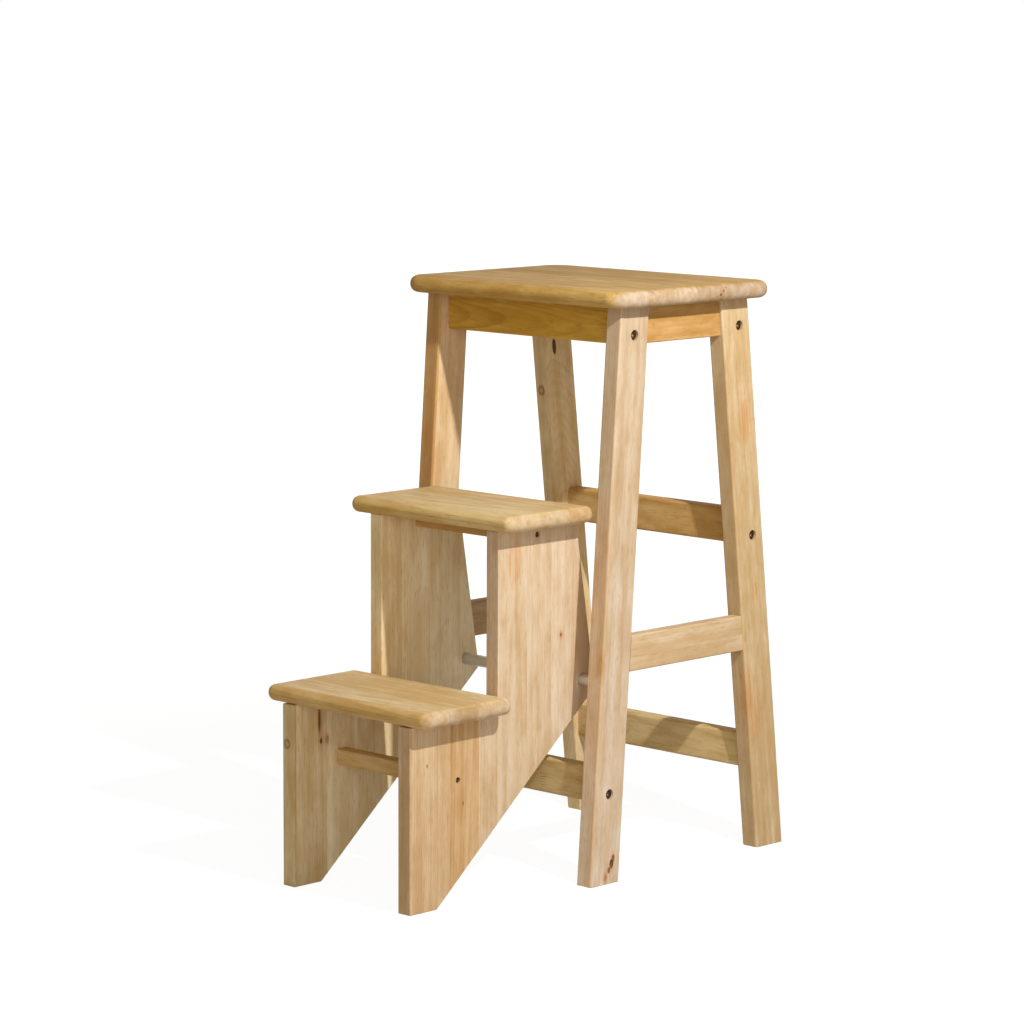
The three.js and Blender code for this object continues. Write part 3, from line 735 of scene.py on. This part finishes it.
def lacquered_wood(
    name, wood, cut, staves=(), marks=(), seed=0, year=3.4 * MM, pith=(6 * MM, -42 * MM),
    drift=(0.004, 0.03), late_strength=0.2, fade=0.0, end_tint=END_TINT,
):
    """Clear-lacquered wood. Growth rings are tubes about the log's pith, which runs off to the
    side of the board and drifts along it, so the rings draw arches on the wide face and lines on
    the edges. Mottle, broad bands and fine fibres are noise drawn out along the board. The painted
    fade is painted light: how much paler the board gets per metre along its fibres. Together they
    are one brightness, and red, green and blue take it to their own powers. A stave has its own
    tone, warmth and place in the log, and the rings bend round each knot."""
    n = Nodes(bpy.data.materials.new(name))
    along, across = np.asarray(cut.along, float), np.asarray(cut.across, float)
    axes = (along, across, np.cross(along, across))
    object_place = n.add("ShaderNodeTexCoord").outputs
    from_middle = n.vector("SUBTRACT", object_place["Object"], tuple(cut.middle))
    x, y, z = (n.vector("DOT_PRODUCT", from_middle, tuple(axis)) for axis in axes)
    tone, warmth, log_place = stave_values(n, y, staves)
    in_log = n.combine(x, y, n.plus(z, (log_place, LOG_STEP)))
    offset = tuple(seed * step for step in SEED_STEPS)

    def drawn_out(noise):
        scale = (noise.along, noise.across, noise.across)
        return n.noise(in_log, scale, offset, noise.detail, noise.roughness)

    wander, waves, blotch, band = map(drawn_out, (WANDER, WAVES, BLOTCH, BAND))
    mottle, fibre, hair, pores = map(drawn_out, (MOTTLE, FIBRE, HAIR, PORES))
    pores = n.between(pores, *PORE_RANGE)

    # Growth rings, bent round the knots.
    years = years_from_pith(n, (x, y, z), log_place, wander, waves, (year, pith, drift))
    near = []
    for mark in marks:
        distance = distance_from(n, mark, (x, y, z), cut.middle, axes, waves)
        surround = n.between(distance, mark.surround, KNOT_RIM)
        years = n.plus(years, (surround, KNOT_BEND))
        near.append((mark, distance, surround))
    late = late_line(n, years, seed)

    # The wood's own colour, with less of the late lines on end grain.
    facing = n.vector("DOT_PRODUCT", object_place["Normal"], tuple(along))
    end = n.between(n.calc("ABSOLUTE", facing), *END_GRAIN)
    shade = n.plus(0.0, (mottle, 0.3), (band, 0.2), (blotch, 0.5))
    base = n.mix(n.between(shade, 0.4, 0.6), wood.pale, wood.honey)
    dark_lines = n.calc("MULTIPLY", late, n.plus(late_strength, (warmth, 0.3)))
    dark_lines = n.calc("MULTIPLY", dark_lines, n.plus(1.0, (end, -0.75)))
    base = n.mix(dark_lines, base, wood.late)

    # One brightness for fibres, bands, mottle and stave, and the stave's warmth.
    shades = (
        (fibre, -FIBRE_SHADE),
        (hair, -HAIR_SHADE),
        (band, -BAND_SHADE),
        (mottle, -MOTTLE_SHADE),
        (tone, STAVE_SHADE),
    )
    terms = [(n.calc("SUBTRACT", value, 0.5), share) for value, share in shades]
    bright = n.plus(1.0, *terms, (x, fade))
    redder = n.combine(*(n.calc("POWER", bright, power) for power in REDDENING))
    base = n.mix(1.0, base, redder, "MULTIPLY")
    base = n.mix(warmth, base, (*WARM_TINT, 1.0), "MULTIPLY")
    base = n.mix(n.calc("MULTIPLY", pores, PORE_SHADE), base, wood.late)

    # Knots and marks: a streaky amber surround, a brown heart and a dark rim.
    hollow = n.calc("MULTIPLY", pores, 0.5)
    for mark, distance, surround in near:
        heart = n.between(distance, 1.0, 0.55)
        from_rim = n.calc("ABSOLUTE", n.calc("SUBTRACT", distance, KNOT_RIM))
        rim = n.between(from_rim, RIM_WIDTH, 0.0)
        amber = n.calc("MULTIPLY", surround, n.between(fibre, 0.35, 0.65, 0.15, 0.55))
        base = n.mix(amber, base, AMBER)
        base = n.mix(n.calc("MULTIPLY", heart, mark.heart), base, KNOT_BROWN)
        base = n.mix(n.calc("MULTIPLY", rim, mark.darkness), base, KNOT_DARK)
        hollow = n.plus(hollow, (rim, mark.darkness))

    # End grain has its own tint, which differs from stave to stave. Rubbed edges are more golden,
    # from wear, and on the noses also as painted warm shade.
    base = n.mix(end, base, (*end_tint, 1.0), "MULTIPLY")
    step = n.plus(1.0, (n.calc("SUBTRACT", log_place, 0.5), -END_SHADE))
    base = n.mix(end, base, n.combine(step, step, step), "MULTIPLY")
    wear = n.add("ShaderNodeAttribute", attribute_name="wear").outputs["Fac"]
    rubbed_and_shaded = n.calc("MULTIPLY", wear, n.between(blotch, 0.3, 0.7, 0.5, 0.8))
    rubbed_and_shaded = n.calc("MULTIPLY", rubbed_and_shaded, n.calc("SUBTRACT", 1.0, end))
    base = n.mix(rubbed_and_shaded, base, (*EDGE_WEAR_AND_SHADE_TINT, 1.0), "MULTIPLY")

    roughness = n.plus(0.5, (fibre, 0.16), (end, 0.12), (wear, 0.06))
    height = n.plus(0.0, (fibre, 0.5), (late, 0.35), (hair, 0.3), (hollow, -1.0))
    return n.finish(base, roughness, height, *LACQUER_BUMP, Specular_IOR_Level=0.14, IOR=1.35)


# A pale painted glint for the floor of a bolt's or screw's recess.
PAINTED_GLINT = colour(182, 148, 104)
ROD_STEEL = (colour(224, 222, 218), colour(198, 194, 188))
FASTENER_STEEL = (colour(62, 40, 15), colour(42, 26, 9))

# Waves per metre of the lines in drawn steel, along them and across them, of its faint cloudiness
# and of its dull spots.
LINE_SCALE = (30.0, 2600.0)
CLOUD_SCALE = 38
SPOT_SCALE = 420


def drawn_steel(name, pale, dark, along, roughness, metal):
    """Drawn steel bar: fine lines along it, faint cloudiness, and small dull spots. Where the wear
    attribute is one, on the floor of a bolt's or screw's recess, it turns pale as a painted glint.
    A bolt's oxide coat is less of a metal than a bare bar."""
    n = Nodes(bpy.data.materials.new(name))
    place = n.add("ShaderNodeTexCoord").outputs["Object"]
    stretch = tuple(LINE_SCALE[0 if drawn else 1] for drawn in np.abs(along) > 0.5)
    lines = n.noise(place, stretch, (3.1, 7.7, 1.3), 3, 0.6)
    cloud = n.noise(place, (CLOUD_SCALE,) * 3, (5.3, 2.9, 8.1), 3, 0.55)
    spots = n.between(n.noise(place, (SPOT_SCALE,) * 3, (1.7, 9.1, 4.3)), 0.62, 0.74)
    base = n.mix(n.between(cloud, 0.3, 0.7), pale, dark)
    base = n.mix(n.calc("MULTIPLY", spots, 0.4), base, dark)
    base = n.mix(n.calc("MULTIPLY", lines, 0.25), base, dark)
    wear = n.add("ShaderNodeAttribute", attribute_name="wear").outputs["Fac"]
    # Painted glint: the recess floor turns pale.
    base = n.mix(wear, base, PAINTED_GLINT)
    rough = n.plus(roughness, (lines, 0.18), (spots, 0.2))
    height = n.plus(lines, (spots, -0.4))
    return n.finish(base, rough, height, *STEEL_BUMP, Metallic=metal, Specular_IOR_Level=0.25)


# ---------------------------------------- making a piece

SMOOTH_ANGLE = math.radians(32)


def mesh_from(name, surface):
    """A mesh of a closed surface, its faces turned outwards, with the wear and painted light of
    each point.
    """
    mesh = bpy.data.meshes.new(name)
    mesh.from_pydata(surface.points.tolist(), [], surface.faces)
    work = bmesh.new()
    work.from_mesh(mesh)
    bmesh.ops.recalc_face_normals(work, faces=work.faces)
    work.to_mesh(mesh)
    work.free()
    attribute = mesh.attributes.new("wear", "FLOAT", "POINT")
    attribute.data.foreach_set("value", surface.wear.astype(np.float32))
    return mesh


def with_bores(piece, cutters):
    """Cuts closed surfaces out of a piece, and gives it the mesh that is left."""
    cutter = placed("cutter", mesh_from("cutter", joined(cutters)))
    boolean = piece.modifiers.new("bores", "BOOLEAN")
    boolean.operation, boolean.solver, boolean.object = "DIFFERENCE", "EXACT", cutter
    evaluated = piece.evaluated_get(bpy.context.evaluated_depsgraph_get())
    left = bpy.data.meshes.new_from_object(evaluated)
    piece.modifiers.clear()
    solid = piece.data
    piece.data = left
    left.name = solid.name
    cutter_mesh = cutter.data
    bpy.data.objects.remove(cutter)
    bpy.data.meshes.remove(cutter_mesh)


def make_piece(name, surface, finish, body, node, cutters=()):
    """A finished piece that stands for a CAD node and rides on its body."""
    piece = placed(name, mesh_from(name, surface))
    if cutters:
        with_bores(piece, cutters)
    piece.data.materials.clear()
    piece.data.materials.append(finish)
    piece.data.shade_smooth()
    piece.data.set_sharp_from_angle(angle=SMOOTH_ANGLE)
    even = piece.modifiers.new("even shading", "WEIGHTED_NORMAL")
    even.keep_sharp = True
    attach(piece, body)
    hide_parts(node)


def make_board(node, surface, wood, grain, body, slot, cutters=(), **look):
    """A sanded board, leg or bar for a CAD node, in lacquered wood with the node's tint, which
    holds painted light as well as its own tone, and with its staves and marks. Grain is the
    directions of its fibres and across its wide face."""
    name = f"{node.replace('_', ' ')} wood"
    cut = Cut(middle_of(node), *grain)
    marks = [Mark(*mark) for mark in MARKS.get(node, ())]
    finish = lacquered_wood(name, tinted_with_painted_light(wood, node), cut, STAVES.get(node, ()), marks, **look)
    make_piece(f"{node}_sanded", surface, finish, body, node, cutters)


# ---------------------------------------- bores, from the CAD's pins

BOLTED = ("front_apron", "rear_apron", "front_low_stretcher", "rear_mid_stretcher")


def pin_axis(node):
    """A pin's middle, its direction as an axis number, its half length and its radius."""
    low, high = span(node)
    axis = int(np.argmax(high - low))
    return (low + high) / 2, axis, (high - low)[axis] / 2, (high - low)[(axis + 1) % 3] / 2


def plain_bore(node, clearance, beyond=JOINT_GAP):
    """A round cutter over a pin, larger and longer by the given amounts."""
    middle, axis, half, radius = pin_axis(node)
    direction = np.eye(3)[axis]
    reach = radius + clearance
    start = middle - direction * (half + beyond)
    return turned(start, direction, [(reach, 0), (reach, 2 * (half + beyond))])


def sunk_bore(node, outward, kind):
    """A stepped cutter for a headed pin: wide from outside the wood to the head's seat, then
    narrow to just past the point."""
    middle, axis, half, radius = pin_axis(node)
    form = FASTENERS[kind]
    direction = -np.eye(3)[axis] * outward
    start = middle - direction * (half + CUTTER_LEAD)
    seat = CUTTER_LEAD + form.head_height + BORE_CLEARANCE
    wide = radius + BORE_CLEARANCE
    narrow = radius * form.shank_share + BORE_CLEARANCE
    end = CUTTER_LEAD + 2 * half + BORE_CLEARANCE
    return turned(start, direction, [(wide, 0), (wide, seat), (narrow, seat), (narrow, end)])


def member_bores(member, side, sign):
    """The bores for one end of a cross member: its bolt, if it has one, and its dowels."""
    bores = []
    if member in BOLTED:
        bores.append(sunk_bore(f"bolt_{member}_{side}", sign, "bolt"))
        bores.append(plain_bore(f"dowel_{member}_{side}_1", BORE_CLEARANCE))
    else:
        bores += [plain_bore(f"dowel_{member}_{side}_{i}", BORE_CLEARANCE) for i in (1, 2)]
    return bores


# ---------------------------------------- the stool's frame

FRONT_MEMBERS = ("front_apron", "front_low_stretcher")
REAR_MEMBERS = ("rear_apron", "rear_mid_stretcher", "rear_low_stretcher")
LEVELS = ("lower", "upper")

seat_screws = [f"seat_screw_{end}_{side}" for end in ("front", "rear") for side, _ in SIDES]
make_board(
    "seat_board", bullnose_board("seat_board", SEAT_CORNER, SEAT_NOSE), SEAT_WOOD, (X, Y),
    "stool", "seat_wood", [sunk_bore(screw, -1, "screw") for screw in seat_screws],
    seed=1, drift=(0.01, 0.02), late_strength=0.4, end_tint=SEAT_END_TINT,
)

# The rings' drift along a leg, and how much paler it gets per metre upwards. That paling is
# painted light: the right front leg is darker towards its top, where the lamp is nearest, as
# painted shade, and the left one is paler towards its top.
LEG_DRIFT = {"rear_leg_left": (0.05, 0.26)}
LEG_PAINTED_FADE = {"front_leg_right": -0.62, "front_leg_left": 0.25}


def leg_lean(node):
    """How far a leg's top is behind its foot: its box's depth beyond the leg's own depth."""
    low, high = span(node)
    reach = high[1] - low[1] - LEG_DEPTH
    return reach if node.startswith("front") else -reach


def leg_face(leg, towards):
    """Where a leg's face on one side lies along Y, as its place at the floor and its slope."""
    low, high = span(leg)
    lean = leg_lean(leg)
    slope = lean / (high[2] - low[2])
    start = low[1] if lean > 0 else low[1] - lean
    face = start + (LEG_DEPTH if towards > 0 else 0)
    return face - slope * low[2], slope


def add_leg(row, side, sign, seed):
    """A leg whose fibres follow its slope, with bores for its members and the rod."""
    node = f"{row}_leg_{side}"
    low, high = span(node)
    lean = leg_lean(node)
    along = np.array([0, lean, high[2] - low[2]])
    along /= np.linalg.norm(along)
    members = FRONT_MEMBERS if row == "front" else REAR_MEMBERS
    bores = [bore for member in members for bore in member_bores(member, side, sign)]
    if row == "front":
        bores.append(plain_bore("pivot_rod", BORE_CLEARANCE))
    make_board(
        node, eased_bar(node, LEG_EDGE, LEG_END_EASE, lean), LEG_WOOD, (along, np.cross(along, X)),
        "stool", "leg_wood", bores, seed=seed, pith=(4 * MM, -30 * MM),
        drift=LEG_DRIFT.get(node, (0.002, 0.012)), fade=LEG_PAINTED_FADE.get(node, 0.0),
        late_strength=0.32 if node in LEG_DRIFT else 0.22,
    )


legs = [(row, *side) for row in ("front", "rear") for side in SIDES]
for seed, (row, side, sign) in enumerate(legs, 11):
    add_leg(row, side, sign, seed)

for seed, member in enumerate((*FRONT_MEMBERS, *REAR_MEMBERS), 20):
    bores = [bore for side, sign in SIDES for bore in member_bores(member, side, sign)]
    is_apron = member.endswith("apron")
    if is_apron:
        end = member.split("_")[0]
        bores += [sunk_bore(f"seat_screw_{end}_{side}", -1, "screw") for side, _ in SIDES]
    shows_rings = member == "front_apron"
    make_board(
        member, eased_bar(member, APRON_EDGE if is_apron else STRETCHER_EDGE, BAR_END_EASE),
        RAIL_WOOD, (X, Z), "stool", "rail_wood", bores, seed=seed, pith=(2 * MM, -26 * MM),
        drift=(0.01, 0.035), year=(2.2 if shows_rings else 3.4) * MM,
        late_strength=0.6 if shows_rings else 0.3,
    )


def side_member(node, side):
    """A bar between a front and a rear leg, whose ends follow the legs' slopes. Its section is a
    rectangle with eased edges, and a ring's place along Y is the front leg's rear face at that
    height, plus a share of the way to the rear leg's front face."""
    low, high = span(node)
    front, front_slope = leg_face(f"front_leg_{side}", 1)
    rear, rear_slope = leg_face(f"rear_leg_{side}", -1)
    size, middle = high - low, middle_of(node)
    points, outward = round_corners(rectangle(size[0], size[2]), APRON_EDGE, BAR_EDGE_STEPS)
    across = points[:, 0] + middle[0]
    level = points[:, 1] + middle[2]
    start = front + front_slope * level + JOINT_GAP
    end = rear + rear_slope * level - JOINT_GAP
    share = np.linspace(0, 1, SIDE_MEMBER_RINGS)[:, None]
    along = start + (end - start) * share
    surface = closed_by_rings(np.stack(np.broadcast_arrays(across, along, level), -1))
    wear = np.broadcast_to(long_edge_wear(outward), along.shape)
    return surface._replace(wear=wear.ravel())


side_members = [(member, side) for member in ("side_stretcher", "side_apron") for side, _ in SIDES]
for seed, (member, side) in enumerate(side_members, 31):
    node = f"{member}_{side}"
    make_board(
        node, side_member(node, side), RAIL_WOOD if member == "side_apron" else LEG_WOOD, (Y, Z),
        "stool", "rail_wood", seed=seed, pith=(8 * MM, -30 * MM), drift=(0.01, 0.04),
    )


# ---------------------------------------- the step unit

rod_middle = middle_of("pivot_rod")


def stringer_outline(node):
    """A stringer's outline in Y and Z, anticlockwise: foot, long slope, back edge, two steps."""
    low, high = span(node)
    riser = span("tread_lower")[1][1] + JOINT_GAP
    lower_top = span("tread_lower")[0][2] - JOINT_GAP
    upper_top = high[2]
    corners = [
        (low[1], low[2]),
        (low[1] + STRINGER_FOOT, low[2]),
        (high[1], rod_middle[2] - BACK_CORNER_BELOW_ROD),
        (span("tread_upper")[1][1] - TREAD_BEHIND_STRINGER, upper_top),
        (riser, upper_top),
        (riser, lower_top),
        (low[1], lower_top),
    ]
    return round_corners(corners, STRINGER_CORNER, STRINGER_STEPS)


TREAD_PEGS = {
    f"tread_{level}": [f"peg_tread_{level}_{side}_{i}" for side, _ in SIDES for i in (1, 2)]
    for level in LEVELS
}

for seed, (side, sign) in enumerate(SIDES, 40):
    node = f"stringer_{side}"
    low, high = span(node)
    rings, angle = plate(stringer_outline(node), high[0] - low[0], STRINGER_EDGE, STRINGER_STEPS)
    rings = laid(rings, [low[0], 0, 0], Y, Z, X)
    bores = [plain_bore("pivot_rod", ROD_CLEARANCE)]
    bores += [sunk_bore(f"screw_step_rail_{level}_{side}", sign, "screw") for level in LEVELS]
    bores += [
        plain_bore(peg, PEG_CLEARANCE, PEG_CUTTER_LEAD)
        for pegs in TREAD_PEGS.values()
        for peg in pegs
        if side in peg
    ]
    make_board(
        node, closed_by_rings(rings, BAR_WEAR * np.sin(2 * angle)), STRINGER_WOOD, (Z, Y),
        "steps", "stringer_wood", bores, seed=seed, pith=(0, -46 * MM), drift=(0.003, 0.02),
    )

for seed, (tread, pegs) in enumerate(TREAD_PEGS.items(), 50):
    make_board(
        tread, bullnose_board(tread, TREAD_CORNER, TREAD_NOSE), TREAD_WOOD, (X, Y),
        "steps", "tread_wood", [plain_bore(peg, PEG_CLEARANCE, PEG_CUTTER_LEAD) for peg in pegs],
        seed=seed, drift=(0.01, 0.03), late_strength=0.34, end_tint=TREAD_END_TINT,
    )

for seed, level in enumerate(LEVELS, 60):
    node = f"step_rail_{level}"
    bores = [sunk_bore(f"screw_{node}_{side}", sign, "screw") for side, sign in SIDES]
    make_board(
        node, eased_bar(node, STEP_RAIL_EDGE, BAR_END_EASE), RAIL_WOOD, (X, Z),
        "steps", "rail_wood", bores, seed=seed, pith=(2 * MM, -22 * MM), drift=(0.01, 0.03),
    )


# ---------------------------------------- pegs, rod, bolts and screws

peg_finish = lacquered_wood(
    "peg wood", PEG_WOOD, Cut((0, 0, 0), Z, Y), seed=70, year=1.6 * MM, pith=(0, -9 * MM)
)
rod_finish = drawn_steel("rod steel", *ROD_STEEL, X, roughness=0.36, metal=0.85)
fastener_finish = drawn_steel("fastener steel", *FASTENER_STEEL, X, roughness=0.6, metal=0.2)


def eased_end(radius, ease):
    """The rings of a pin's end, eased in two steps."""
    return [(radius - ease, 0), (radius - EASE_STEP * ease, EASE_STEP * ease), (radius, ease)]


for pegs in TREAD_PEGS.values():
    for peg in pegs:
        middle, _, half, radius = pin_axis(peg)
        point = [(radius, 2 * half - PEG_POINT), (radius - PEG_POINT, 2 * half)]
        surface = turned(middle + Z * half, -Z, eased_end(radius, PEG_EASE) + point)
        make_piece(f"{peg}_trimmed", surface, peg_finish, "steps", peg)

rod_length, _, rod_thickness = np.ptp(span("pivot_rod"), axis=0)
rod_end = eased_end(rod_thickness / 2, ROD_EASE)
rod_profile = rod_end + [(radius, rod_length - along) for radius, along in rod_end[::-1]]
rod_surface = turned(rod_middle - X * rod_length / 2, X, rod_profile, ROD_STEPS)
make_piece("pivot_rod_drawn", rod_surface, rod_finish, "stool", "pivot_rod")


def add_fastener(node, sign, kind, body):
    """A bolt or a screw in place of a CAD node, its head towards the outside."""
    middle, _, half, head = pin_axis(node)
    surface = headed_pin(middle + X * sign * half, -X * sign, FASTENERS[kind], head, 2 * half)
    make_piece(f"{node}_turned", surface, fastener_finish, body, node)


for member in BOLTED:
    for side, sign in SIDES:
        add_fastener(f"bolt_{member}_{side}", sign, "bolt", "stool")
for level in LEVELS:
    for side, sign in SIDES:
        add_fastener(f"screw_step_rail_{level}_{side}", sign, "screw", "steps")

# The dowels and the seat's screws are the CAD's own, and get the same finishes.
for name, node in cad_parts.items():
    if name.startswith(("dowel_", "seat_screw_")):
        finish = peg_finish if name.startswith("dowel_") else fastener_finish
        node.data.materials.clear()
        node.data.materials.append(finish)


# ---------------------------------------- floor, background and light

FLOOR_HALF = 14.0
FLOOR_COLOUR = 0.6
FLOOR_MOTTLE = 1.04
SEEN_FLOOR_COLOUR = 0.9
SEEN_FLOOR_GLOW = 1.12
SHADOW_SHARE = 0.16
SHADOW_REACH = (0.6, 2.2)

SOFT_COLOUR = (1.0, 0.93, 0.68, 1.0)
SOFT_STRENGTH = 0.23
KEY_PLACE = (1.157, -0.24, 1.41)
KEY_COLOUR = (0.93, 0.97, 1.0)
KEY_POWER = 101
KEY_RADIUS = 0.02
FILL_PLACE = Vector((2.35, -2.2, 0.85))
FILL_AIM = Vector((0, 0, 0.3))
FILL_POWER = 32
FILL_SIZE = 2.6


def pale_floor():
    """A wide level floor. The camera sees it near white with the object's soft shadow, and pure
    white farther away, where it joins the background."""
    n = Nodes(bpy.data.materials.new("pale floor"))
    place = n.add("ShaderNodeTexCoord").outputs["Object"]
    mottle = n.noise(place, (3, 3, 3), (1.1, 2.3, 0.7), 3)
    tint = n.mix(mottle, grey(FLOOR_COLOUR), grey(FLOOR_COLOUR * FLOOR_MOTTLE))
    for_light = n.add("ShaderNodeBsdfDiffuse", {"Color": tint}).outputs[0]
    for_camera = n.add("ShaderNodeBsdfDiffuse", {"Color": grey(SEEN_FLOOR_COLOUR)}).outputs[0]
    glow = {"Color": grey(1.0), "Strength": SEEN_FLOOR_GLOW}
    white = n.add("ShaderNodeEmission", glow).outputs[0]
    share = n.between(n.vector("LENGTH", place), *SHADOW_REACH, SHADOW_SHARE, 0.0)
    pale = n.add("ShaderNodeMixShader", {0: share, 1: white, 2: for_camera}).outputs[0]
    surface = n.add("ShaderNodeMixShader", {0: n.seen(), 1: for_light, 2: pale}).outputs[0]
    n.add("ShaderNodeOutputMaterial", {"Surface": surface})
    return n.owner


def add_light(name, kind, place, power, **settings):
    """A lamp of a kind at a place, with its power in watts."""
    lamp = bpy.data.lights.new(name, kind)
    lamp.energy = power
    for setting, value in settings.items():
        setattr(lamp, setting, value)
    light = placed(name, lamp)
    light.location = place
    return light


floor_mesh = bpy.data.meshes.new("floor")
floor_corners = [(x, y, 0) for x, y in rectangle(2 * FLOOR_HALF, 2 * FLOOR_HALF)]
floor_mesh.from_pydata(floor_corners, [], [(0, 1, 2, 3)])
floor_mesh.materials.append(pale_floor())
floor = placed("floor", floor_mesh)
floor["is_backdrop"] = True

# The background is white where it is seen, and a soft warm light everywhere else.
world = Nodes(bpy.data.worlds.new("studio"))
bpy.context.scene.world = world.owner
soft_light = {"Color": SOFT_COLOUR, "Strength": SOFT_STRENGTH}
soft = world.add("ShaderNodeBackground", soft_light).outputs[0]
white = world.add("ShaderNodeBackground", {"Color": grey(1.0), "Strength": 1.0}).outputs[0]
both = world.add("ShaderNodeMixShader", {0: world.seen(), 1: soft, 2: white}).outputs[0]
world.add("ShaderNodeOutputWorld", {"Surface": both})

add_light("key", "POINT", KEY_PLACE, KEY_POWER, shadow_soft_size=KEY_RADIUS, color=KEY_COLOUR)
fill = add_light("fill", "AREA", FILL_PLACE, FILL_POWER, size=FILL_SIZE)
fill.rotation_mode = "QUATERNION"
fill.rotation_quaternion = (FILL_PLACE - FILL_AIM).to_track_quat("Z", "Y")

low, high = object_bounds()
